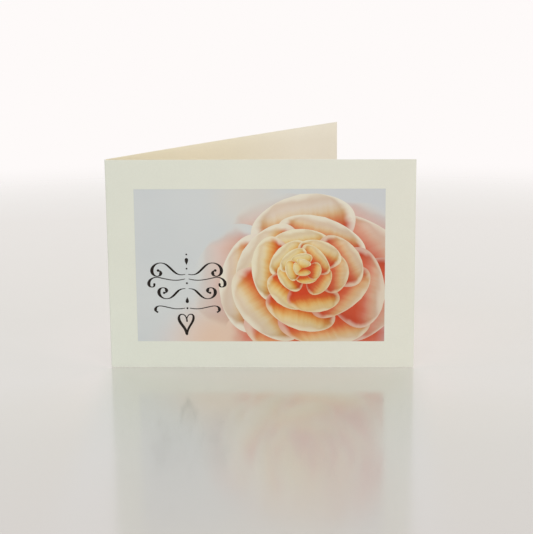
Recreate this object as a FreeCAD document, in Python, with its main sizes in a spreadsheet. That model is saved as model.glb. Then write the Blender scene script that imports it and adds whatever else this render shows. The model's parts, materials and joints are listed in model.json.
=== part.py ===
"""A folded greeting card of thick card stock, standing open on its lower edges.

The card is one sheet, creased down its middle and folded once. Seen from above, the front panel runs
from the crease along +X, and the back panel opens away from it, towards +Y. Heights are along +Z.
"""
import FreeCAD, Part
import math
import os

import Sketcher

NODE = "folded_card"

# The driving dimensions, in millimetres and degrees
SIZES = {
    "panel_width": 150.0,      # from the middle of the crease to a cut side edge, straight across
    "card_height": 105.0,      # length of the crease
    "board_gauge": 0.4,        # thickness of the card stock, about 300 g/m2
    "opening_angle": 40.8,     # between the front panel's chord and the back panel's
    "crease_width": 1.2,       # width of the creased strip, between the two lines it bends along
    "crease_bend": 0.15,       # inner radius of the bend at each side of that strip
    "bead_height": 0.3,        # how far the creased strip bulges into the fold
    "score_depth": 0.05,       # depth of the shallow valley that creasing leaves along the spine
    "front_bow": 0.2,          # how far the front panel bellies out between crease and side edge
    "back_bow": 1.0,           # the same for the back panel, which the fold pulls harder
}

# How a sketch numbers its own origin and the points of a curve
ORIGIN = (-1, 1)
START = 1
END = 2
CENTRE = 3


def make_sheet(doc):
    """Put the driving dimensions in a spreadsheet, one named cell each."""
    sheet = doc.addObject("Spreadsheet::Sheet", "Sizes")
    for row, (alias, value) in enumerate(SIZES.items(), start=1):
        sheet.set(f"A{row}", alias)
        sheet.set(f"B{row}", str(value))
        sheet.setAlias(f"B{row}", alias)
    doc.recompute()
    return sheet


def polar(centre, radius, degrees):
    """The point at a distance and a direction from a centre."""
    turn = math.radians(degrees)
    return centre + FreeCAD.Vector(math.cos(turn), math.sin(turn), 0) * radius


def bow_radius(chord, rise):
    """Radius of the arc that stands `rise` above the middle of its chord."""
    return (chord**2 / 4 + rise**2) / (2 * rise)


def bow_text(chord, rise):
    """The same radius as an expression of the spreadsheet's cells."""
    return f"(Sizes.{chord} ^ 2 / 4 + Sizes.{rise} ^ 2) / (2 * Sizes.{rise})"


class FoldedSection:
    """The sheet's section, looking down on it: two bowed panels and the creased strip between them.

    The front bend's centre is the sketch's origin. Every curve is first drawn about where it goes, and
    then tied to its neighbours and to the spreadsheet.
    """

    def __init__(self, body, plane, sheet):
        self.sketch = body.newObject("Sketcher::SketchObject", "FoldedSection")
        self.sketch.AttachmentSupport = [(plane, "")]
        self.sketch.MapMode = "FlatFace"
        self.draw_panels(sheet)
        self.draw_crease(sheet)
        self.draw_guides()
        self.join_corners()
        self.shape_faces()
        self.set_sizes()

    def arc(self, centre, radius, from_degrees, to_degrees):
        """Add an anticlockwise arc and return its number."""
        circle = Part.Circle(centre, FreeCAD.Vector(0, 0, 1), radius)
        curve = Part.ArcOfCircle(circle, math.radians(from_degrees), math.radians(to_degrees))
        return self.sketch.addGeometry(curve, False)

    def line(self, start, end, construction=False):
        """Add a line between two curves' ends and return its number."""
        points = [self.sketch.getPoint(*place) for place in (start, end)]
        return self.sketch.addGeometry(Part.LineSegment(*points), construction)

    def rise(self, start, end, height):
        """Add an arc from one curve's end to another's that bulges to the right of that way."""
        start = self.sketch.getPoint(*start)
        end = self.sketch.getPoint(*end)
        chord = end - start
        radius = bow_radius(chord.Length, height)
        outward = math.degrees(math.atan2(chord.y, chord.x)) - 90
        half_sweep = math.degrees(math.asin(chord.Length / 2 / radius))
        centre = polar((start + end) / 2, radius - height, outward + 180)
        return self.arc(centre, radius, outward - half_sweep, outward + half_sweep)

    def draw_panels(self, sheet):
        """Draw both faces of each panel, and the cut edges that end them."""
        front_radius = bow_radius(sheet.panel_width, sheet.front_bow)
        back_radius = bow_radius(sheet.panel_width, sheet.back_bow)
        front_sweep = math.degrees(2 * math.asin(sheet.panel_width / 2 / front_radius))
        back_sweep = math.degrees(2 * math.asin(sheet.panel_width / 2 / back_radius))

        # Directions that the outer faces look in where they meet the crease
        self.front_out = -90 - front_sweep / 2
        self.back_out = 90 + sheet.opening_angle + back_sweep / 2
        self.spine_out = 180 + sheet.opening_angle / 2
        self.front_bend = FreeCAD.Vector(0, 0, 0)
        self.back_bend = polar(self.front_bend, sheet.crease_width, self.spine_out - 90)

        outer_bend = sheet.crease_bend + sheet.board_gauge
        front_centre = polar(self.front_bend, front_radius - outer_bend, self.front_out + 180)
        back_centre = polar(self.back_bend, back_radius - outer_bend, self.back_out + 180)
        front_span = (self.front_out, self.front_out + front_sweep)
        back_span = (self.back_out - back_sweep, self.back_out)
        self.front_outer = self.arc(front_centre, front_radius, *front_span)
        self.front_inner = self.arc(front_centre, front_radius - sheet.board_gauge, *front_span)
        self.back_outer = self.arc(back_centre, back_radius, *back_span)
        self.back_inner = self.arc(back_centre, back_radius - sheet.board_gauge, *back_span)
        self.front_edge = self.line((self.front_outer, END), (self.front_inner, END))
        self.back_edge = self.line((self.back_outer, START), (self.back_inner, START))

    def draw_crease(self, sheet):
        """Draw the two bends, the bead inside the fold and the valley along the spine."""
        outer_bend = sheet.crease_bend + sheet.board_gauge
        front_span = (self.spine_out - 360, self.front_out)
        back_span = (self.back_out, self.spine_out)
        self.front_bend_outer = self.arc(self.front_bend, outer_bend, *front_span)
        self.front_bend_inner = self.arc(self.front_bend, sheet.crease_bend, *front_span)
        self.back_bend_outer = self.arc(self.back_bend, outer_bend, *back_span)
        self.back_bend_inner = self.arc(self.back_bend, sheet.crease_bend, *back_span)
        self.bead = self.rise((self.front_bend_inner, START), (self.back_bend_inner, END), sheet.bead_height)
        self.valley = self.rise((self.front_bend_outer, START), (self.back_bend_outer, END), sheet.score_depth)

    def draw_guides(self):
        """Draw guide lines: across the crease, square to it through each bend, and the back's chord."""
        self.strip = self.line((self.valley, START), (self.valley, END), construction=True)
        self.front_square = self.line(ORIGIN, (self.valley, START), construction=True)
        self.back_square = self.line((self.back_bend_outer, CENTRE), (self.valley, END), construction=True)
        self.back_chord = self.line((self.back_outer, END), (self.back_outer, START), construction=True)
        middle = (self.sketch.getPoint(self.strip, START) + self.sketch.getPoint(self.strip, END)) / 2
        self.middle = self.sketch.addGeometry(Part.Point(middle), True)

    def join(self, first, *others):
        """Make points coincide, each given as a curve and one of its points."""
        for other in others:
            self.sketch.addConstraint(Sketcher.Constraint("Coincident", *first, *other))

    def join_corners(self):
        """Close the outline's corners, and give the curves that turn together one centre."""
        self.join((self.front_inner, END), (self.front_edge, END))
        self.join((self.back_inner, START), (self.back_edge, END))
        self.join((self.back_chord, START), (self.back_outer, END))
        self.join((self.back_chord, END), (self.back_outer, START))
        self.join((self.valley, START), (self.front_bend_outer, START), (self.strip, START),
                  (self.front_square, END))
        self.join((self.valley, END), (self.back_bend_outer, END), (self.strip, END), (self.back_square, END))
        self.join((self.bead, START), (self.front_bend_inner, START))
        self.join((self.bead, END), (self.back_bend_inner, END))
        self.join(ORIGIN, (self.front_bend_outer, CENTRE), (self.front_bend_inner, CENTRE),
                  (self.front_square, START))
        self.join((self.back_bend_outer, CENTRE), (self.back_bend_inner, CENTRE), (self.back_square, START))
        self.join((self.front_outer, CENTRE), (self.front_inner, CENTRE))
        self.join((self.back_outer, CENTRE), (self.back_inner, CENTRE))

    def tie(self, kind, *places):
        """Add a constraint that has no size."""
        self.sketch.addConstraint(Sketcher.Constraint(kind, *places))

    def shape_faces(self):
        """Run the panels smoothly into the bends, and square the strip and the cut edges."""
        self.tie("Tangent", self.front_outer, START, self.front_bend_outer, END)
        self.tie("Tangent", self.front_inner, START, self.front_bend_inner, END)
        self.tie("Tangent", self.back_outer, END, self.back_bend_outer, START)
        self.tie("Tangent", self.back_inner, END, self.back_bend_inner, START)
        self.tie("Perpendicular", self.strip, self.front_square)
        self.tie("Perpendicular", self.strip, self.back_square)
        self.tie("PointOnObject", self.front_bend_inner, START, self.front_square)
        self.tie("PointOnObject", self.back_bend_inner, END, self.back_square)
        self.tie("Perpendicular", self.front_outer, END, self.front_edge, START)
        self.tie("Perpendicular", self.back_outer, START, self.back_edge, START)
        self.tie("Horizontal", self.front_outer, START, self.front_outer, END)
        self.tie("Symmetric", self.strip, START, self.strip, END, self.middle, START)

    def size(self, name, expression, kind, *places):
        """Add a named constraint whose size follows the spreadsheet."""
        value = float(self.sketch.evalExpression(expression))
        unit = "mm"
        if kind == "Angle":
            value = math.radians(value)
            unit = "deg"
        index = self.sketch.addConstraint(Sketcher.Constraint(kind, *places, value))
        self.sketch.renameConstraint(index, name)
        self.sketch.setExpression(f"Constraints.{name}", f"({expression}) * 1 {unit}")

    def set_sizes(self):
        """Bind every size of the section to the spreadsheet."""
        outer_bend = "Sizes.crease_bend + Sizes.board_gauge"
        self.size("front_bend_inside", "Sizes.crease_bend", "Radius", self.front_bend_inner)
        self.size("back_bend_inside", "Sizes.crease_bend", "Radius", self.back_bend_inner)
        self.size("front_bend_outside", outer_bend, "Radius", self.front_bend_outer)
        self.size("back_bend_outside", outer_bend, "Radius", self.back_bend_outer)
        self.size("strip_width", "Sizes.crease_width", "Distance", self.strip)
        self.size("strip_turn", "90 + Sizes.opening_angle / 2", "Angle", self.strip)
        self.size("bead_radius", bow_text("crease_width", "bead_height"), "Radius", self.bead)
        self.size("valley_radius", bow_text("crease_width", "score_depth"), "Radius", self.valley)
        self.size("opening", "Sizes.opening_angle", "Angle", self.back_chord)
        self.size("front_radius", bow_text("panel_width", "front_bow"), "Radius", self.front_outer)
        self.size("back_radius", bow_text("panel_width", "back_bow"), "Radius", self.back_outer)
        self.size("front_width", "Sizes.panel_width", "Distance", self.middle, START, self.front_outer, END)
        self.size("back_width", "Sizes.panel_width", "Distance", self.middle, START, self.back_outer, START)


def make_card(doc, sheet):
    """The whole card: its section, carried up the length of the crease."""
    body = doc.addObject("PartDesign::Body", "Card")
    body.Label = NODE
    plane = next(item for item in body.Origin.OriginFeatures if item.Role == "XY_Plane")
    section = FoldedSection(body, plane, sheet)
    pad = body.newObject("PartDesign::Pad", "CreaseLength")
    pad.Profile = section.sketch
    pad.Type = "Length"
    pad.setExpression("Length", "Sizes.card_height * 1 mm")
    doc.recompute()
    return body, section.sketch


def stand_on_origin(doc, body):
    """Bring the middle of the card's footprint to the frame's origin, with the cut edges on the ground."""
    box = body.Shape.BoundBox
    body.Placement.Base = FreeCAD.Vector(-box.Center.x, -box.Center.y, -box.ZMin)
    doc.recompute()


def check(doc, body, sketch, sheet):
    """Stop if anything in the document failed, or the sheet isn't one sound solid of its own thickness."""
    for item in doc.Objects:
        if "Invalid" in item.State or "Error" in item.State:
            raise RuntimeError(f"{item.Label} failed: {item.State}")
    if not sketch.FullyConstrained:
        raise RuntimeError("the section isn't held by its sizes alone")
    shape = body.Shape
    if shape.isNull() or not shape.isValid() or len(shape.Solids) != 1:
        raise RuntimeError(f"{body.Label} isn't one sound solid")
    flat_volume = 2 * sheet.panel_width * sheet.card_height * sheet.board_gauge
    if not 0.97 < shape.Volume / flat_volume < 1.03:
        raise RuntimeError(f"{body.Label} holds {shape.Volume:.0f} mm3, where the flat sheet has {flat_volume:.0f}")


def main():
    doc = FreeCAD.newDocument("GreetingCard")
    sheet = make_sheet(doc)
    body, sketch = make_card(doc, sheet)
    stand_on_origin(doc, body)
    check(doc, body, sketch, sheet)
    os.makedirs("parts", exist_ok=True)
    body.Shape.exportStep(f"parts/{body.Label}.step")
    box = body.Shape.BoundBox
    print(f"{body.Label}: {box.XLength:.3f} x {box.YLength:.3f} x {box.ZLength:.3f} mm,"
          f" {len(body.Shape.Faces)} faces, {body.Shape.Volume:.1f} mm3")


main()
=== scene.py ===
"""Looks of a folded greeting card: cream card stock, a printed blossom picture, pen scrolls and a heart.

Lengths are metres in the card's own frame: the front panel faces -Y, the fold is at -X and +Z is up.
"""

import json
import math
import random

import bpy
from mathutils import Matrix, Vector
from mathutils.bvhtree import BVHTree
from mathutils.geometry import delaunay_2d_cdt

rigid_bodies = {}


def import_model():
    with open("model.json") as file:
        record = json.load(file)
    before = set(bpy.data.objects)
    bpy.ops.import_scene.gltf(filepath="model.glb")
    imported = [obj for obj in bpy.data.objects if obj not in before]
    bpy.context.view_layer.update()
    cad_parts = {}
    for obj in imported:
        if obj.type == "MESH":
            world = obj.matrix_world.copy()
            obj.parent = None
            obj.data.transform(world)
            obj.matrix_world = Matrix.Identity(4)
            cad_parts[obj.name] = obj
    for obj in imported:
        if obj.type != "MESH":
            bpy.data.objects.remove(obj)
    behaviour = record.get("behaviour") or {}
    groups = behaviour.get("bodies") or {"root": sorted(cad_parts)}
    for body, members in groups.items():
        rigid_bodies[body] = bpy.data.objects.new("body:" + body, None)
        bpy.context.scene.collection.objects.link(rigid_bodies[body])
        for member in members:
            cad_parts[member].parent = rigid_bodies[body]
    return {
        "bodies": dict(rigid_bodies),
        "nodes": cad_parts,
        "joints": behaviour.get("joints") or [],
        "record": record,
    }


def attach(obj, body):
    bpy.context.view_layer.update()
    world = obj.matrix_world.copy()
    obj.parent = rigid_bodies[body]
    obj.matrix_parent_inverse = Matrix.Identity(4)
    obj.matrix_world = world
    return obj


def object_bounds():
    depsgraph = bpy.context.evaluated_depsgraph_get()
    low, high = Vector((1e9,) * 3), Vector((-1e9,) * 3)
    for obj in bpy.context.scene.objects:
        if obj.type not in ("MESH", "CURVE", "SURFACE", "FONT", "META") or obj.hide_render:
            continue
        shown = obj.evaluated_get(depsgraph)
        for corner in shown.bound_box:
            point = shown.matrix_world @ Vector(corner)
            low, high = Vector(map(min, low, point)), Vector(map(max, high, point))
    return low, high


MM = 0.001

# The card and its print, in millimetres
CARD_NODE = "folded_card"
OPENING = 40.8          # degrees between the panels
BACK_WAY = (math.cos(math.radians(OPENING)), math.sin(math.radians(OPENING)), 0.0)
MOUTH_WAY = (math.cos(math.radians(OPENING / 2)), math.sin(math.radians(OPENING / 2)), 0.0)
MARGIN_FOLD = 13.8      # bare paper from the fold to the picture
MARGIN_EDGE = 14.6      # from the picture to the opening edge
MARGIN_BOTTOM = 13.5
MARGIN_TOP = 14.35
PAINTED_FOOT_REACH = 60.0        # how high the paper's painted paler, cooler foot reaches, painted light against the floor's warm bounce
PICTURE_LIFT = 0.03     # how far the print stands off the paper, so that the two never meet
INK_LIFT = 0.06

# The photograph's camera
PHOTO_HEIGHT = 534
FOCAL_PIXELS = 1669.6
CAMERA_PLACE = (0.02671, -0.83618, 0.26795)
CAMERA_PITCH = 15.378   # degrees below level
CAMERA_YAW = 1.746      # degrees to the left
CAMERA_ROLL = -0.534
SENSOR = 36.0


def srgb(red, green, blue):
    """A colour on the usual 0 to 255 scale as the linear one that a shader takes."""
    values = [channel / 255 for channel in (red, green, blue)]
    return tuple(v / 12.92 if v <= 0.04045 else ((v + 0.055) / 1.055) ** 2.4 for v in values) + (1.0,)


# Shader nodes

NOISE_LOW = 0.3                 # what noise seldom leaves
NOISE_HIGH = 0.7


def add(tree, kind, inputs=(), **settings):
    """Add a node. Its inputs are numbers or other nodes' outputs, in order or by name."""
    made = tree.nodes.new(kind)
    for name, value in settings.items():
        setattr(made, name, value)
    pairs = inputs.items() if isinstance(inputs, dict) else enumerate(inputs)
    for key, value in pairs:
        if isinstance(value, bpy.types.NodeSocket):
            tree.links.new(value, made.inputs[key])
        else:
            made.inputs[key].default_value = value
    return made


def calc(tree, operation, *inputs):
    """One step of arithmetic."""
    return add(tree, "ShaderNodeMath", inputs, operation=operation).outputs[0]


def smooth(tree, value, low, high, to_low=0.0, to_high=1.0):
    """Ease from one level to another as value goes from low to high."""
    inputs = {"Value": value, "From Min": low, "From Max": high, "To Min": to_low, "To Max": to_high}
    return add(tree, "ShaderNodeMapRange", inputs, interpolation_type="SMOOTHSTEP").outputs[0]


def mix(tree, factor, first, second, blend="MIX"):
    """Mix two colours."""
    made = add(tree, "ShaderNodeMix", {0: factor, 6: first, 7: second}, data_type="RGBA", blend_type=blend)
    return made.outputs[2]


def scale(tree, colour, level):
    """A colour times a level."""
    return add(tree, "ShaderNodeVectorMath", {0: colour, 3: level}, operation="SCALE").outputs[0]


def share(tree, value, low, high):
    """How far a value has come from low to high, from 0 to 1."""
    return add(tree, "ShaderNodeMapRange", {"Value": value, "From Min": low, "From Max": high}).outputs[0]


def ramp(tree, value, stops):
    """A colour ramp through (place, colour) stops."""
    made = add(tree, "ShaderNodeValToRGB", [value])
    elements = made.color_ramp.elements
    elements[0].position, elements[0].color = stops[0]
    elements[1].position, elements[1].color = stops[-1]
    for place, colour in stops[1:-1]:
        elements.new(place).color = colour
    return made.outputs[0]


def noise(tree, coords, count, detail=2.0, roughness=0.5):
    """Smooth noise between 0 and 1, with about so many bumps to each unit of its coordinates."""
    inputs = {"Vector": coords, "Scale": count, "Detail": detail, "Roughness": roughness}
    return add(tree, "ShaderNodeTexNoise", inputs).outputs[0]


def mottle(tree, coords, count, to_low=0.0, to_high=1.0, detail=2.0):
    """Noise that is spread over the whole way from one level to another."""
    return smooth(tree, noise(tree, coords, count, detail), NOISE_LOW, NOISE_HIGH, to_low, to_high)


def new_material(name):
    """A node material with its own tree and surface shader."""
    material = bpy.data.materials.new(name)
    material.use_nodes = True
    tree = material.node_tree
    return material, tree, tree.nodes["Principled BSDF"]


def position(tree):
    """Place on the object, in metres."""
    return add(tree, "ShaderNodeTexCoord").outputs["Object"]


def attribute(tree, name):
    """A vector that the mesh carries at its corners."""
    return add(tree, "ShaderNodeAttribute", attribute_name=name).outputs["Vector"]


def along(tree, vector, way):
    """How much of a vector lies along a direction."""
    return add(tree, "ShaderNodeVectorMath", [vector, way], operation="DOT_PRODUCT").outputs["Value"]


# The stock's colour high and low on the card (the foot painted paler and cooler), its painted shade at the
# fold and painted warm light at the open end, and its cut edges
PAPER = srgb(227, 226, 212)
PAPER_FOOT_PAINTED_LIGHT = srgb(228, 228, 215)
FOLD_PAINTED_SHADE = (0.983, 1.0, 0.998, 1.0)
OPEN_PAINTED_LIGHT = (1.020, 1.008, 1.003, 1.0)
PAPER_EDGE = srgb(236, 235, 226)
# The inside of the panels by the share of the card's length from the fold: painted warm bounce light,
# strongest at the fold
INSIDE_PAINTED_BOUNCE_STOPS = (
    (0.00, srgb(236, 231, 209)),
    (0.38, srgb(229, 226, 208)),
    (0.62, srgb(229, 228, 216)),
    (0.76, srgb(226, 225, 213)),
)
PAPER_ROUGHNESS = 0.82
PAPER_SPECULAR = 0.25
PAPER_TOOTH = 0.35              # how much of the tooth shows in bare paper
TOOTH_COUNT = 2600              # bumps to the metre
TOOTH_DEPTH = 0.03              # millimetres
FIBRES_LYING = {"Rotation": (0.3, 0.0, 0.7), "Scale": (700, 700, 5200)}     # counts to the metre
FIBRES_STANDING = {"Rotation": (-0.5, 0.2, -0.4), "Scale": (5200, 5200, 700)}
FIBRE_SHARE = 0.5               # how high the fibres stand beside the tooth
FIBRE_RANGE = (0.7, 1.3)        # what the two sets of fibres add up to
GRAIN_LEVELS = (0.985, 1.012)   # how much the fibres and the clouds darken and lighten the stock
CLOUD_LEVELS = (0.992, 1.006)
CLOUD_COUNT = 45
INSIDE_TURN = 0.3               # a face counts as inside from where it looks this far towards the mouth
CUT_TURNS = (0.93, 0.97)        # and as cut edge from where it looks this far along the panel or up and down


def paper_tooth(tree, shader, coords, strength):
    """The fine felt of uncoated stock: a soft tooth, and short fibres lying both ways."""
    tooth = noise(tree, coords, TOOTH_COUNT, detail=4.0, roughness=0.6)
    lying, standing = (noise(tree, add(tree, "ShaderNodeMapping", {"Vector": coords, **way}).outputs[0], 1.0)
                       for way in (FIBRES_LYING, FIBRES_STANDING))
    fibres = calc(tree, "ADD", lying, standing)
    height = calc(tree, "ADD", tooth, calc(tree, "MULTIPLY", fibres, FIBRE_SHARE))
    bump = add(tree, "ShaderNodeBump", {"Height": height, "Strength": strength, "Distance": TOOTH_DEPTH * MM})
    tree.links.new(bump.outputs[0], shader.inputs["Normal"])
    return fibres


def set_finish(shader, roughness, specular):
    """How dull the surface is, and how strongly it shines."""
    shader.inputs["Roughness"].default_value = roughness
    shader.inputs["Specular IOR Level"].default_value = specular


def paper_material(card_low, card_high):
    """Cream card stock, a little mottled, with paler cut edges, painted warm bounce light inside towards the
    fold, painted shade and light from the fold to the open end, and a painted paler foot.
    """
    material, tree, shader = new_material("card_stock")
    coords = position(tree)
    fibres = paper_tooth(tree, shader, coords, PAPER_TOOTH)
    grain = smooth(tree, fibres, *FIBRE_RANGE, *GRAIN_LEVELS)
    level = calc(tree, "MULTIPLY", mottle(tree, coords, CLOUD_COUNT, *CLOUD_LEVELS, detail=3.0), grain)

    x, _, height = add(tree, "ShaderNodeSeparateXYZ", [coords]).outputs
    from_fold = share(tree, x, card_low.x, card_high.x)
    # Painted light: the foot is painted paler and cooler, against the floor's warm bounce and shade there
    outside = mix(tree, smooth(tree, height, 0.0, PAINTED_FOOT_REACH * MM), PAPER_FOOT_PAINTED_LIGHT, PAPER)
    # Painted shade towards the fold and painted warm light towards the open end, as from a warm light on the
    # open side
    outside = mix(tree, 1.0, outside, mix(tree, from_fold, FOLD_PAINTED_SHADE, OPEN_PAINTED_LIGHT), "MULTIPLY")
    facing = add(tree, "ShaderNodeNewGeometry").outputs["True Normal"]
    is_inside = smooth(tree, along(tree, facing, MOUTH_WAY), 0.0, INSIDE_TURN)
    # Painted warm bounce light on the inside faces, strongest at the fold
    faces = scale(tree, mix(tree, is_inside, outside, ramp(tree, from_fold, INSIDE_PAINTED_BOUNCE_STOPS)), level)

    # The panels' ends are cut edges only at the open end, because the fold's faces look the same ways
    ends = calc(tree, "MAXIMUM", along(tree, facing, (1, 0, 0)), along(tree, facing, BACK_WAY))
    ends = calc(tree, "MULTIPLY", ends, calc(tree, "GREATER_THAN", x, 0.0))
    squarely = calc(tree, "MAXIMUM", ends, calc(tree, "ABSOLUTE", along(tree, facing, (0, 0, 1))))
    colour = mix(tree, smooth(tree, squarely, *CUT_TURNS), faces, PAPER_EDGE)
    tree.links.new(colour, shader.inputs["Base Color"])
    set_finish(shader, PAPER_ROUGHNESS, PAPER_SPECULAR)
    return material


# The printed picture's ground: its two tones, and soft fields of centre, reach and softness in millimetres,
# tint and the most that shows of it
GROUND_TONES = (srgb(206, 209, 208), srgb(210, 212, 210))
GROUND_COUNT = 22
GROUND_FIELDS = (
    ((-33, 8), 8, 19, srgb(222, 207, 199), 0.6),
    ((-16, 12), 8, 26, srgb(227, 192, 164), 0.8),
    ((64, 44), 12, 26, srgb(213, 172, 164), 0.95),
    ((-6, 86), 4, 20, srgb(219, 212, 199), 0.5),
    ((56, 96), 16, 26, srgb(205, 206, 207), 0.8),
)
PRINT_ROUGHNESS = 0.6
PRINT_SPECULAR = 0.3
PRINT_TOOTH = 0.2               # how much of the paper's tooth shows through the ink


def field(tree, coords, centre, reach, softness):
    """A soft round field of the picture: 1 within reach of its centre, fading out over softness."""
    place = (centre[0] * MM, 0.0, centre[1] * MM)
    flat = add(tree, "ShaderNodeVectorMath", {0: coords, 1: (1, 0, 1)}, operation="MULTIPLY").outputs[0]
    away = add(tree, "ShaderNodeVectorMath", {0: flat, 1: place}, operation="DISTANCE").outputs["Value"]
    return smooth(tree, away, reach * MM, (reach + softness) * MM, 1.0, 0.0)


def print_finish(tree, shader, colour):
    """Ink laid on the stock: its colour, and the paper's tooth showing through."""
    paper_tooth(tree, shader, position(tree), PRINT_TOOTH)
    tree.links.new(colour, shader.inputs["Base Color"])
    set_finish(shader, PRINT_ROUGHNESS, PRINT_SPECULAR)


def ground_colour(tree):
    """The picture's pale blue-grey ground, with out-of-focus pink and peach behind the bloom."""
    coords = position(tree)
    colour = mix(tree, mottle(tree, coords, GROUND_COUNT), *GROUND_TONES)
    for centre, reach, softness, tint, most in GROUND_FIELDS:
        strength = calc(tree, "MULTIPLY", field(tree, coords, centre, reach, softness), most)
        colour = mix(tree, strength, colour, tint)
    return colour


def ground_material():
    """What shows of the ground round the bloom."""
    material, tree, shader = new_material("print_ground")
    print_finish(tree, shader, ground_colour(tree))
    return material


# The bloom's rings from the outside in: how many petals, their length and half width in millimetres, and
# their shares of pink and of gold
RINGS = (
    (6, 61.0, 29.0, 0.85, 0.0),
    (5, 48.5, 26.0, 0.25, 0.0),
    (5, 38.5, 21.5, 0.08, 0.15),
    (5, 29.5, 16.5, 0.0, 0.45),
    (5, 21.5, 12.0, 0.0, 0.7),
    (4, 14.5, 9.0, 0.0, 0.9),
    (4, 9.0, 5.6, 0.0, 1.0),
    (3, 4.8, 3.4, 0.0, 1.0),
)
COVERED = 0.85                  # how much of a petal's length the next ring hides, as a share of that ring's
BLOOM_CENTRE = (27.0, 42.0)
BLOOM_SHIFT = (-0.12, 0.16)     # how far the inner rings lean, as a share of what the outer ring is longer
BLOOM_TILT = 0.9                # height of the bloom as a share of its width
BLOOM_SEED = 7
CHANCE_TURN = 0.16              # how far chance turns a petal, as a share of the ring's pitch
CHANCE_REACH = (0.90, 1.07)     # and the range in which it scales a petal's length and its width
CHANCE_WIDTH = (0.90, 1.12)
CHANCE_BEND = 0.35              # and how far it bends the petal's tip sideways, in half widths
RIGHT_BLUSH = 0.6               # how much pinker petals are on the bloom's right
BLUSH_LENGTH = 40               # all of it from this length up, in millimetres
LIGHT_WAY = (-0.6, 0.8)
WIDEST = 0.64                   # where a petal is widest, as a share of its length
WIDTH_POWER = math.log(0.5) / math.log(WIDEST)
FULLNESS = 0.55                 # the less, the fuller its shoulders
PETAL_STEPS = 40


def petal_width(along):
    """Half width of a petal at a share of its length, as a share of its greatest."""
    turn = along ** WIDTH_POWER
    return math.sin(math.pi * min(turn, 1.0)) ** FULLNESS


class Petal:
    """One petal of the bloom: a rounded blade with a soft point, on the picture's plane."""

    def __init__(self, base, degrees, length, half_width, bend, tone, gold, cover, blur, chance):
        self.base = Vector(base)
        self.bend = bend
        self.blur = blur
        turn = math.radians(degrees)
        self.way = Vector((math.cos(turn), math.sin(turn) * BLOOM_TILT))
        self.side = Vector((-math.sin(turn), math.cos(turn) * BLOOM_TILT))
        self.length = length
        self.half_width = half_width
        self.tone = tone
        self.gold = gold
        self.cover = cover
        self.chance = chance
        self.lit = self.side.dot(Vector(LIGHT_WAY))
        self.facing = self.way.dot(Vector(LIGHT_WAY))

    def place(self, along, across):
        """The point of the picture at the petal's own coordinates."""
        sideways = (across + self.bend * along * along) * self.half_width
        return self.base + self.way * (along * self.length) + self.side * sideways

    def coordinates(self, point):
        """The petal's own coordinates of a point of the picture."""
        frame = Matrix((self.way * self.length, self.side * self.half_width)).transposed()
        along, sideways = frame.inverted() @ (point - self.base)
        return along, sideways - self.bend * along * along

    def outline(self):
        """Its outline, once round."""
        steps = [step / PETAL_STEPS for step in range(PETAL_STEPS + 1)]
        right = [self.place(s, -petal_width(s)) for s in steps]
        left = [self.place(s, petal_width(s)) for s in reversed(steps[1:-1])]
        return right + left


def bloom_petals():
    """Every petal from the lowest to the topmost."""
    chance = random.Random(BLOOM_SEED)
    petals = []
    for ring, (count, length, half_width, tone, gold) in enumerate(RINGS):
        shorter = RINGS[0][1] - length
        inner = RINGS[ring + 1][1] if ring + 1 < len(RINGS) else 0.0
        base = (BLOOM_CENTRE[0] + BLOOM_SHIFT[0] * shorter, BLOOM_CENTRE[1] + BLOOM_SHIFT[1] * shorter)
        for index in range(count):
            degrees = 360 / count * (index + 0.5 * ring + chance.uniform(-CHANCE_TURN, CHANCE_TURN))
            reach = length * chance.uniform(*CHANCE_REACH)
            wide = half_width * chance.uniform(*CHANCE_WIDTH)
            bend = chance.uniform(-CHANCE_BEND, CHANCE_BEND)
            rosier = RIGHT_BLUSH * max(0.0, math.cos(math.radians(degrees))) * min(1.0, length / BLUSH_LENGTH)
            blur = 1.0 if ring == 0 else 0.0
            petals.append(Petal(base, degrees, reach, wide, bend, min(1.0, tone + rosier), gold,
                                COVERED * inner / reach, blur, chance.random()))
    return petals


# A petal's colours by the depth, from 0 deep in the bloom to 1 at the lip: plain, golden and pink
WARM_STOPS = (
    (0.00, srgb(206, 64, 26)),
    (0.21, srgb(208, 84, 34)),
    (0.30, srgb(212, 110, 48)),
    (0.40, srgb(218, 144, 78)),
    (0.52, srgb(224, 184, 126)),
    (0.62, srgb(227, 208, 170)),
    (0.76, srgb(229, 218, 198)),
    (1.00, srgb(230, 222, 206)),
)
GOLD_STOPS = (
    (0.00, srgb(206, 66, 28)),
    (0.23, srgb(210, 92, 34)),
    (0.33, srgb(217, 130, 48)),
    (0.48, srgb(225, 174, 88)),
    (0.66, srgb(228, 200, 130)),
    (1.00, srgb(230, 216, 170)),
)
ROSY_STOPS = (
    (0.00, srgb(206, 88, 58)),
    (0.18, srgb(209, 116, 92)),
    (0.34, srgb(212, 148, 132)),
    (0.58, srgb(214, 176, 165)),
    (1.00, srgb(222, 202, 192)),
)
NOTCH = 0.3                     # how far these colours go on below what the next ring usually hides
RIM = srgb(231, 224, 206)
RIM_GOLD = srgb(232, 220, 178)
CREASE = srgb(226, 190, 150)
CREASE_SHARE = 0.4
# Where these start and are whole, from the middle line to the rim and from the base to the tip
CREASE_ACROSS = (0.60, 0.86)
CREASE_ALONG = (0.78, 0.92)
LIP_ACROSS = (0.80, 0.97)
LIP_ALONG = (0.88, 0.98)
BORDER_ACROSS = (0.55, 1.0)
BORDER_ALONG = (0.76, 1.0)
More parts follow.
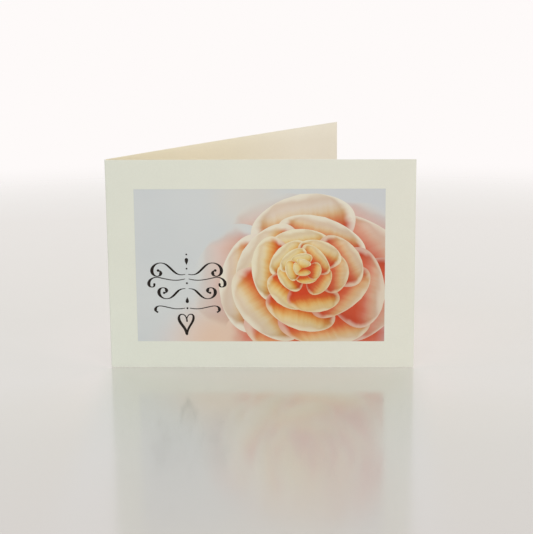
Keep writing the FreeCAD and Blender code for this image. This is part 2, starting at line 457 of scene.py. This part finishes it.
# The lip's strength, fading on petals that lean away from the light and towards their base
LIP_BY_FACING = (-1.2, 0.8, 0.45, 0.95)
LIP_BY_LENGTH = (0.2, 0.7, 0.25, 1.0)
WANDER_COUNTS = (4.8, 1.6, 144.0)       # noise bumps along a petal, across it and from petal to petal
STREAK_COUNTS = (1.6, 9.0, 40.0)
COUNTS_RANGE = (0.25, 0.75)     # what that noise seldom leaves
WANDER = 0.07                   # how far a petal's lines wander, and its streaks run up and down
STREAK = 0.03
TIP_WANDER = 0.5                # how much of the wander shows lengthwise
FACING_DEPTH = 0.17             # how much nearer to the lip's colours a petal is that leans to the light
BLUR_DEPTH = 0.14               # and one that is out of focus
SHADE_LEVELS = (0.88, 1.05)     # a petal's level on the half away from the light and on the lit one
SHADE_RANGE = 0.9               # how far across it the light changes
UNDER_LEVEL = 0.86              # its level under its neighbour
UNDER_FROM = 0.45
LEAST_WIDTH = 0.02


def petal_noise(tree, place, counts):
    """Noise on a petal's own coordinates."""
    counted = add(tree, "ShaderNodeVectorMath", [place, counts], operation="MULTIPLY").outputs[0]
    return noise(tree, counted, 1.0)


def petal_material():
    """Petals from orange in the bloom's depth to peach and a cream lip, gold inside and pink outside."""
    material, tree, shader = new_material("print_petals")
    place = attribute(tree, "petal_place")
    length, across, _ = add(tree, "ShaderNodeSeparateXYZ", [place]).outputs
    pink, cover, blur = add(tree, "ShaderNodeSeparateXYZ", [attribute(tree, "petal_tint")]).outputs
    lit, facing, gold = add(tree, "ShaderNodeSeparateXYZ", [attribute(tree, "petal_light")]).outputs

    # Where the point lies between the petal's middle line and its rim
    turn = calc(tree, "MULTIPLY", calc(tree, "POWER", length, WIDTH_POWER), math.pi)
    width = calc(tree, "MAXIMUM", calc(tree, "POWER", calc(tree, "SINE", turn), FULLNESS), LEAST_WIDTH)
    rim = calc(tree, "DIVIDE", calc(tree, "ABSOLUTE", across), width)
    wander = smooth(tree, petal_noise(tree, place, WANDER_COUNTS), *COUNTS_RANGE, -WANDER, WANDER)
    rim = calc(tree, "ADD", rim, wander)
    lengthwise = calc(tree, "MULTIPLY", wander, TIP_WANDER)
    tip = calc(tree, "ADD", length, lengthwise)

    # How far out it is on the part of the petal that shows
    shown = calc(tree, "DIVIDE", calc(tree, "SUBTRACT", length, cover), calc(tree, "SUBTRACT", 1.0, cover))
    depth = calc(tree, "DIVIDE", calc(tree, "ADD", shown, NOTCH), 1.0 + NOTCH)
    streak = smooth(tree, petal_noise(tree, place, STREAK_COUNTS), *COUNTS_RANGE, -STREAK, STREAK)
    leaning = calc(tree, "MULTIPLY", facing, FACING_DEPTH)
    blurred = calc(tree, "MULTIPLY", blur, BLUR_DEPTH)
    for more in (streak, lengthwise, leaning, blurred):
        depth = calc(tree, "ADD", depth, more)
    colour = mix(tree, gold, ramp(tree, depth, WARM_STOPS), ramp(tree, depth, GOLD_STOPS))
    colour = mix(tree, pink, colour, ramp(tree, depth, ROSY_STOPS))

    # A cupped petal is lighter on the half that faces the light, and darker under its neighbour
    shade = smooth(tree, calc(tree, "MULTIPLY", across, lit), -SHADE_RANGE, SHADE_RANGE, *SHADE_LEVELS)
    under = smooth(tree, across, UNDER_FROM, 1.0, 1.0, UNDER_LEVEL)
    colour = scale(tree, colour, calc(tree, "MULTIPLY", shade, under))

    # Its lip is rolled back: a shaded crease, and beyond it the pale underside
    crease = calc(tree, "MAXIMUM", smooth(tree, rim, *CREASE_ACROSS), smooth(tree, tip, *CREASE_ALONG))
    colour = mix(tree, calc(tree, "MULTIPLY", crease, CREASE_SHARE), colour, CREASE, "MULTIPLY")
    lip = calc(tree, "MAXIMUM", smooth(tree, rim, *LIP_ACROSS), smooth(tree, tip, *LIP_ALONG))
    lip = calc(tree, "MULTIPLY", lip, smooth(tree, facing, *LIP_BY_FACING))
    lip = calc(tree, "MULTIPLY", lip, smooth(tree, length, *LIP_BY_LENGTH))
    colour = mix(tree, lip, colour, mix(tree, gold, RIM, RIM_GOLD))

    # The outer petals are out of focus, and their borders melt into the ground
    border = calc(tree, "MAXIMUM", smooth(tree, rim, *BORDER_ACROSS), smooth(tree, length, *BORDER_ALONG))
    colour = mix(tree, calc(tree, "MULTIPLY", blur, border), colour, ground_colour(tree))
    print_finish(tree, shader, colour)
    return material


INK = srgb(24, 16, 12)
INK_DRY = srgb(36, 26, 20)
INK_COUNT = 900


def ink_material():
    """Dark brown-black drawing ink."""
    material, tree, shader = new_material("print_ink")
    print_finish(tree, shader, mix(tree, mottle(tree, position(tree), INK_COUNT), INK, INK_DRY))
    return material


# The print's shapes

PICTURE_STRIPS = 8              # upright strips that let the flat picture follow the paper's bow
JOINED = 1e-5                   # points nearer than this, in millimetres, are one
INSIDE_LOOPS = 1                # the triangulation keeps only what lies inside an outline


class Face:
    """The front panel's outer face, for laying print on."""

    def __init__(self, card):
        self.tree = BVHTree.FromObject(card, bpy.context.evaluated_depsgraph_get())

    def lay(self, point, lift):
        """The place of a point of the picture, a lift in front of the paper."""
        x, z = point[0] * MM, point[1] * MM
        hit = self.tree.ray_cast(Vector((x, -1.0, z)), Vector((0, 1, 0)))[0]
        return Vector((x, hit.y - lift * MM, z))


def new_piece(name, vertices, faces, materials):
    """A mesh piece of the print, riding on the card."""
    mesh = bpy.data.meshes.new(name)
    mesh.from_pydata(vertices, [], faces)
    for material in materials:
        mesh.materials.append(material)
    mesh.update()
    piece = bpy.data.objects.new(name, mesh)
    bpy.context.scene.collection.objects.link(piece)
    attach(piece, "root")
    return piece


def picture_box(card_low, card_high):
    """The picture's left, right, bottom and top, in millimetres."""
    return (card_low.x / MM + MARGIN_FOLD, card_high.x / MM - MARGIN_EDGE,
            card_low.z / MM + MARGIN_BOTTOM, card_high.z / MM - MARGIN_TOP)


def make_picture(face, box):
    """The printed picture as one flat patchwork: its ground, and what shows of each petal."""
    left, right, bottom, top = box
    frame = [Vector((left, bottom)), Vector((right, bottom)), Vector((right, top)), Vector((left, top))]
    petals = bloom_petals()
    outlines = [frame] + [petal.outline() for petal in petals]
    points, loops = [], []
    for outline in outlines:
        loops.append(list(range(len(points), len(points) + len(outline))))
        points.extend(outline)

    # Upright cuts keep every facet narrow enough to follow the paper's bow
    cuts = []
    for strip in range(1, PICTURE_STRIPS):
        x = left + (right - left) * strip / PICTURE_STRIPS
        cuts.append((len(points), len(points) + 1))
        points.extend([Vector((x, bottom)), Vector((x, top))])

    cut_points, _, cut_faces, _, _, parents = delaunay_2d_cdt(points, cuts, loops, INSIDE_LOOPS, JOINED)
    kept = [(upright(corners, cut_points), max(above))
            for corners, above in zip(cut_faces, parents) if 0 in above]
    used = sorted({corner for corners, _ in kept for corner in corners})
    number = {corner: index for index, corner in enumerate(used)}
    vertices = [face.lay(cut_points[corner], PICTURE_LIFT) for corner in used]
    faces = [[number[corner] for corner in corners] for corners, _ in kept]
    piece = new_piece("print_picture", vertices, faces, [ground_material(), petal_material()])

    mesh = piece.data
    place = mesh.attributes.new("petal_place", "FLOAT_VECTOR", "CORNER")
    tint = mesh.attributes.new("petal_tint", "FLOAT_VECTOR", "CORNER")
    light = mesh.attributes.new("petal_light", "FLOAT_VECTOR", "CORNER")
    for polygon, (_, above) in zip(mesh.polygons, kept):
        if above == 0:
            continue
        petal = petals[above - 1]
        polygon.material_index = 1
        for loop in polygon.loop_indices:
            along, across = petal.coordinates(cut_points[used[mesh.loops[loop].vertex_index]])
            place.data[loop].vector = (along, across, petal.chance)
            tint.data[loop].vector = (petal.tone, petal.cover, petal.blur)
            light.data[loop].vector = (petal.lit, petal.facing, petal.gold)


def upright(corners, points):
    """Corners in the order that makes the face look out of the card."""
    a, b, c = (points[corner] for corner in corners[:3])
    return corners if (b - a).cross(c - b) > 0 else list(reversed(corners))


# Pen work: hairlines along and up, swelling where a stroke runs steeply

HAIRLINE = 0.42                 # millimetres
SWELL = 1.2                     # how much wider the fullest stroke gets
FINE = 0.7                      # a stroke's width at its very start, as a share of the hairline
TAPER_START = 0.10              # the shares of a stroke's length over which it swells, and thins again
TAPER_END = 0.08
TAPER_LEFT = 0.4                # what is left of the swell at its end
TURN_STEP = 0.3                 # the length of one step along a stroke, in millimetres

# Scrolls right of the middle line: start, heading in degrees, legs of (length, bend at its start, bend at its
# end) in millimetres and degrees a millimetre, radius of the ball at the end, and how full the stroke is
SCROLLS = (
    ((0.7, 4.0), -18, ((5, 9, 13), (6, 6, -6), (8, -12, -13), (5.5, -16, -24), (5, -26, -50)), 0.66, 1.0),
    ((0.9, 1.6), -16, ((6, 3, 4), (7, 3, -1), (6, -10, -18), (5.5, -22, -56)), 0.58, 0.95),
    ((0.8, -3.4), 4, ((4, -10, -14), (4.5, -4, 8), (7, 13, 16), (5, 20, 30), (4, 32, 56)), 0.6, 1.0),
    ((1.1, -13.3), -14, ((6, 4, 4), (6, 3, -4), (5.5, -12, -50)), 0.48, 0.85),
)
DROPS = ((8.6, 12.2, 0.95), (-7.6, -10.8, 0.9))         # tip, round end and half width
DROP_SLIMNESS = 1.5
DROP_FULLNESS = 1.3
DOTS = ((6.8, 0.45), (-13.4, 0.5), (14.0, 0.42), (-0.6, 0.5))       # height and radius
SCROLLS_MIDDLE = (-36.4, 44.0)

# The heart's two strokes: curves of four points each, and the width at every joint
HEART = (
    ((((-36.8, 23.6), (-36.6, 24.6), (-37.2, 27.4), (-39.0, 27.45)),
      ((-39.0, 27.45), (-40.3, 27.5), (-40.95, 26.4), (-40.7, 25.0)),
      ((-40.7, 25.0), (-40.2, 22.2), (-37.5, 21.0), (-37.0, 17.2))), (0.8, 0.45, 1.4, 1.3)),
    ((((-36.75, 25.2), (-36.5, 26.6), (-35.8, 27.5), (-34.8, 27.5)),
      ((-34.8, 27.5), (-33.8, 27.5), (-33.35, 26.7), (-33.5, 25.4)),
      ((-33.5, 25.4), (-33.9, 22.6), (-36.6, 20.9), (-36.85, 17.2))), (0.4, 0.5, 1.2, 1.0)),
)
HEART_POINT = (-36.9, 17.2)
HEART_POINT_RADIUS = 0.55


def scroll_stroke(start, heading, legs, fullness):
    """Points, headings and widths along a stroke whose bend changes evenly on each leg."""
    place = Vector(start)
    angle = heading
    stroke = [(place.copy(), angle)]
    for length, bend_from, bend_to in legs:
        count = math.ceil(length / TURN_STEP)
        step = length / count
        for index in range(count):
            bend = bend_from + (bend_to - bend_from) * (index + 0.5) / count
            angle += bend * step / 2
            place = place + Vector((math.cos(math.radians(angle)), math.sin(math.radians(angle)))) * step
            angle += bend * step / 2
            stroke.append((place.copy(), angle))
    last = len(stroke) - 1
    widths = []
    for index, (_, angle) in enumerate(stroke):
        passed = index / last
        steep = math.sin(math.radians(angle)) ** 2
        taper = min(1.0, passed / TAPER_START, (1 - passed) / TAPER_END * (1 - TAPER_LEFT) + TAPER_LEFT)
        widths.append(HAIRLINE * FINE + (HAIRLINE * (1 - FINE) + SWELL * fullness * steep) * taper)
    return [place for place, _ in stroke], [angle for _, angle in stroke], widths


def curve_stroke(curves, joint_widths, count=12):
    """The same along curves of four points each."""
    places, angles, widths = [], [], []
    for number, (a, b, c, d) in enumerate(curves):
        a, b, c, d = Vector(a), Vector(b), Vector(c), Vector(d)
        for index in range(count + 1):
            s = index / count
            r = 1 - s
            way = (b - a) * (3 * r * r) + (c - b) * (6 * r * s) + (d - c) * (3 * s * s)
            places.append(a * r ** 3 + b * (3 * r * r * s) + c * (3 * r * s * s) + d * s ** 3)
            angles.append(math.degrees(math.atan2(way.y, way.x)))
            widths.append(joint_widths[number] * r + joint_widths[number + 1] * s)
    return places, angles, widths


class PenWork:
    """Gathers strokes, balls and drops, and lays them on the card as one piece."""

    def __init__(self):
        self.points = []
        self.faces = []

    def polygon(self, outline):
        """Add one filled outline."""
        first = len(self.points)
        self.points.extend(outline)
        self.faces.append(list(range(first, len(self.points))))

    def ball(self, centre, radius, count=16):
        """Add a round dot."""
        turns = [2 * math.pi * index / count for index in range(count)]
        self.polygon([Vector(centre) + Vector((math.cos(t), math.sin(t))) * radius for t in turns])

    def drop(self, middle, tip, end, half_width, count=20):
        """Add an upright drop with its tip on the middle line."""
        outline = []
        for index in range(count):
            turn = 2 * math.pi * index / count
            rise = (1 - math.cos(turn)) / 2
            bulge = math.sin(turn) * abs(math.sin(turn / 2)) ** DROP_SLIMNESS * DROP_FULLNESS
            outline.append(Vector((middle[0] + bulge * half_width, middle[1] + tip + (end - tip) * rise)))
        self.polygon(outline)

    def stroke(self, places, angles, widths):
        """Add a band as wide at each place as the pen is pressed."""
        first = len(self.points)
        for place, angle, width in zip(places, angles, widths):
            across = Vector((-math.sin(math.radians(angle)), math.cos(math.radians(angle)))) * width / 2
            self.points.extend([place + across, place - across])
        for index in range(len(places) - 1):
            a = first + 2 * index
            self.faces.append([a, a + 1, a + 3, a + 2])

    def piece(self, name, face, material):
        """Lay it all on the card."""
        vertices = [face.lay(point, INK_LIFT) for point in self.points]
        faces = [upright(corners, self.points) for corners in self.faces]
        new_piece(name, vertices, faces, [material])


def make_scrolls(face, ink):
    """Paired pen scrolls with drops and dots on their middle line."""
    work = PenWork()
    middle = Vector(SCROLLS_MIDDLE)
    for start, heading, legs, ball, fullness in SCROLLS:
        places, angles, widths = scroll_stroke(start, heading, legs, fullness)
        work.stroke([middle + place for place in places], angles, widths)
        work.ball(middle + places[-1], ball)
        mirrored = [middle + Vector((-place.x, place.y)) for place in places]
        work.stroke(mirrored, [180 - angle for angle in angles], widths)
        work.ball(mirrored[-1], ball)
    for tip, end, half_width in DROPS:
        work.drop(middle, tip, end, half_width)
    for height, radius in DOTS:
        work.ball(middle + Vector((0.0, height)), radius)
    work.piece("print_scrolls", face, ink)


def make_heart(face, ink):
    """An open heart of two strokes, thin over its lobes and full down its flanks."""
    work = PenWork()
    for curves, joint_widths in HEART:
        work.stroke(*curve_stroke(curves, joint_widths))
    work.ball(HEART_POINT, HEART_POINT_RADIUS)
    work.piece("print_heart", face, ink)


# Camera, lights and floor

def make_camera():
    """The photograph's camera, found from the card's own edges."""
    data = bpy.data.cameras.new("camera")
    data.sensor_fit = "VERTICAL"
    data.sensor_width = SENSOR
    data.sensor_height = SENSOR
    data.lens = FOCAL_PIXELS / PHOTO_HEIGHT * SENSOR
    camera = bpy.data.objects.new("camera", data)
    bpy.context.scene.collection.objects.link(camera)
    turn = Matrix.Rotation(math.radians(CAMERA_YAW), 4, "Z")
    turn @= Matrix.Rotation(math.radians(90 - CAMERA_PITCH), 4, "X")
    turn @= Matrix.Rotation(math.radians(CAMERA_ROLL), 4, "Z")
    camera.matrix_world = Matrix.Translation(CAMERA_PLACE) @ turn
    bpy.context.scene.camera = camera


WORLD_LEVEL = 0.97
WORLD_TINT = (0.985, 1.0, 1.015, 1.0)
BACKDROP = srgb(254, 250, 249)


def make_world():
    """Even studio light, with a white background for the camera and for reflections."""
    world = bpy.data.worlds.new("studio")
    world.use_nodes = True
    bpy.context.scene.world = world
    tree = world.node_tree
    tree.nodes.clear()
    paths = add(tree, "ShaderNodeLightPath").outputs
    seen = calc(tree, "MAXIMUM", paths["Is Camera Ray"], paths["Is Glossy Ray"])
    seen = calc(tree, "MAXIMUM", seen, paths["Is Transmission Ray"])
    light = add(tree, "ShaderNodeBackground", {"Color": WORLD_TINT, "Strength": WORLD_LEVEL})
    backdrop = add(tree, "ShaderNodeBackground", {"Color": BACKDROP, "Strength": 1.0})
    both = add(tree, "ShaderNodeMixShader", [seen, light.outputs[0], backdrop.outputs[0]])
    add(tree, "ShaderNodeOutputWorld", [both.outputs[0]])


# The floor's colour by the distance in metres from a point in front of the card, fading to the white backdrop
FLOOR_POINT = (0.0, -0.6, 0.0)
FLOOR_STOPS = (
    (0.36, srgb(201, 196, 190)),
    (0.46, srgb(204, 201, 194)),
    (0.50, srgb(208, 205, 198)),
    (0.54, srgb(213, 210, 205)),
    (0.70, srgb(217, 213, 207)),
    (0.87, srgb(224, 219, 213)),
    (0.94, srgb(232, 228, 223)),
)
FADE_FROM = 0.92
FADE_TO = 1.06
FLOOR_HALF = 3.0
FLOOR_ROUGHNESS = 0.14
FLOOR_IOR = 2.6

# The floor's painted shade and light by how much of the sky the card leaves open above it: in front a painted
# shadow of the card, and beside it painted light that makes up for what its panels hide
SHADE_REACH = 0.3
SHADE_GAIN = 1.2
PAINTED_SHADOW_AHEAD = (
    (0.50, (0.800, 0.815, 0.780, 1.0)),
    (0.53, (0.880, 0.885, 0.870, 1.0)),
    (0.62, (0.835, 0.850, 0.813, 1.0)),
    (0.71, (0.790, 0.822, 0.770, 1.0)),
    (0.80, (0.775, 0.800, 0.758, 1.0)),
    (0.88, (0.787, 0.827, 0.835, 1.0)),
    (0.93, (0.820, 0.838, 0.862, 1.0)),
    (0.97, (0.868, 0.888, 0.912, 1.0)),
    (1.00, (0.848, 0.848, 0.848, 1.0)),
)
PAINTED_LIGHT_BESIDE = (
    (0.70, (0.950, 0.917, 0.917, 1.0)),
    (0.82, (0.938, 0.905, 0.903, 1.0)),
    (0.88, (0.878, 0.865, 0.850, 1.0)),
    (0.93, (0.840, 0.833, 0.812, 1.0)),
    (1.00, (0.833, 0.833, 0.833, 1.0)),
)

# In millimetres: how far inside and outside the card's end the tint in front gives way to the one beside, and
# how far in front of the panel it is whole
AHEAD_INSIDE = 8.0
AHEAD_OUTSIDE = 10.0
AHEAD_START = 3.0

# The painted contact shadow, a dark line under the front panel: how far it reaches, how fast it ends there
# and at the sides, in millimetres, and what it leaves of the light
CONTACT_REACH = 3.2
CONTACT_END = 1.0
CONTACT_SHADOW_LEVEL = 0.86


def painted_card_shade(tree, card_low, card_high):
    """The card's painted shadow and painted light on the floor, and a painted dark contact line under its
    front panel.
    """
    front, end = card_low.y, card_high.x
    open_sky = add(tree, "ShaderNodeAmbientOcclusion", {"Distance": SHADE_REACH}).outputs["AO"]
    x, y, _ = add(tree, "ShaderNodeSeparateXYZ", [position(tree)]).outputs
    sideways = calc(tree, "ABSOLUTE", x)
    between = smooth(tree, sideways, end - AHEAD_INSIDE * MM, end + AHEAD_OUTSIDE * MM, 1.0, 0.0)
    ahead = calc(tree, "MULTIPLY", between, smooth(tree, y, front - AHEAD_START * MM, front, 1.0, 0.0))
    # Painted shadow in front of the card and painted light beside it, from the ambient occlusion
    tint = mix(tree, ahead, ramp(tree, open_sky, PAINTED_LIGHT_BESIDE), ramp(tree, open_sky, PAINTED_SHADOW_AHEAD))

    # A painted contact shadow along the foot of the front panel
    line = calc(tree, "MULTIPLY", smooth(tree, y, front - CONTACT_REACH * MM, front),
                smooth(tree, y, front, front + CONTACT_END * MM, 1.0, 0.0))
    line = calc(tree, "MULTIPLY", line, smooth(tree, sideways, end - CONTACT_END * MM, end, 1.0, 0.0))
    left = calc(tree, "SUBTRACT", 1.0, calc(tree, "MULTIPLY", line, 1.0 - CONTACT_SHADOW_LEVEL))
    return scale(tree, tint, left)


def make_floor(card_low, card_high):
    """A pale polished table that fades to white behind the card."""
    mesh = bpy.data.meshes.new("floor")
    h = FLOOR_HALF
    mesh.from_pydata([(-h, -h, 0), (h, -h, 0), (h, h, 0), (-h, h, 0)], [], [(0, 1, 2, 3)])
    floor = bpy.data.objects.new("floor", mesh)
    bpy.context.scene.collection.objects.link(floor)
    material, tree, shader = new_material("floor")
    distance = add(tree, "ShaderNodeVectorMath", [position(tree), FLOOR_POINT], operation="DISTANCE")
    away = distance.outputs["Value"]
    low, high = FLOOR_STOPS[0][0], FLOOR_STOPS[-1][0]
    stops = [((place - low) / (high - low), colour) for place, colour in FLOOR_STOPS]
    plain = ramp(tree, share(tree, away, low, high), stops)
    # The card's painted shadow and painted light multiply the floor's colour
    colour = mix(tree, 1.0, plain, painted_card_shade(tree, card_low, card_high), "MULTIPLY")
    tree.links.new(scale(tree, colour, SHADE_GAIN), shader.inputs["Base Color"])
    shader.inputs["Roughness"].default_value = FLOOR_ROUGHNESS
    shader.inputs["IOR"].default_value = FLOOR_IOR
    clear = add(tree, "ShaderNodeBsdfTransparent").outputs[0]
    fade = smooth(tree, away, FADE_FROM, FADE_TO)
    both = add(tree, "ShaderNodeMixShader", [fade, shader.outputs[0], clear])
    tree.links.new(both.outputs[0], tree.nodes["Material Output"].inputs["Surface"])
    mesh.materials.append(material)


# The lamps: place, the point that each looks at, width and height in metres, watts and colour
LAMPS = {
    "warm_side": ((1.6, -0.13, 0.13), (0, 0, 0.06), (0.8, 0.2), 6.6, (1.0, 0.57, 0.27)),
    "front_fill": ((0.1, -1.4, 0.12), (0, 0, 0.05), (1.2, 0.2), 2.6, (0.87, 0.95, 1.0)),
}


def make_lamp(name, place, target, size, energy, colour):
    """A soft lamp, width by height, that looks at a point and isn't seen itself."""
    data = bpy.data.lights.new(name, "AREA")
    data.shape = "RECTANGLE"
    data.size, data.size_y = size
    data.energy = energy
    data.color = colour
    lamp = bpy.data.objects.new(name, data)
    lamp.location = place
    lamp.rotation_euler = (Vector(target) - Vector(place)).to_track_quat("-Z", "Y").to_euler()
    lamp.visible_camera = False
    lamp.visible_glossy = False
    bpy.context.scene.collection.objects.link(lamp)


def make_studio(card_low, card_high):
    """Everything round the card."""
    make_camera()
    make_world()
    make_floor(card_low, card_high)
    for name, lamp in LAMPS.items():
        make_lamp(name, *lamp)
    bpy.context.scene.view_settings.view_transform = "Standard"


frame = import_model()
cad_low, cad_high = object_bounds()
make_studio(cad_low, cad_high)
card = frame["nodes"][CARD_NODE]
card.data.materials.clear()
card.data.materials.append(paper_material(cad_low, cad_high))
front = Face(card)
make_picture(front, picture_box(cad_low, cad_high))
ink = ink_material()
make_scrolls(front, ink)
make_heart(front, ink)
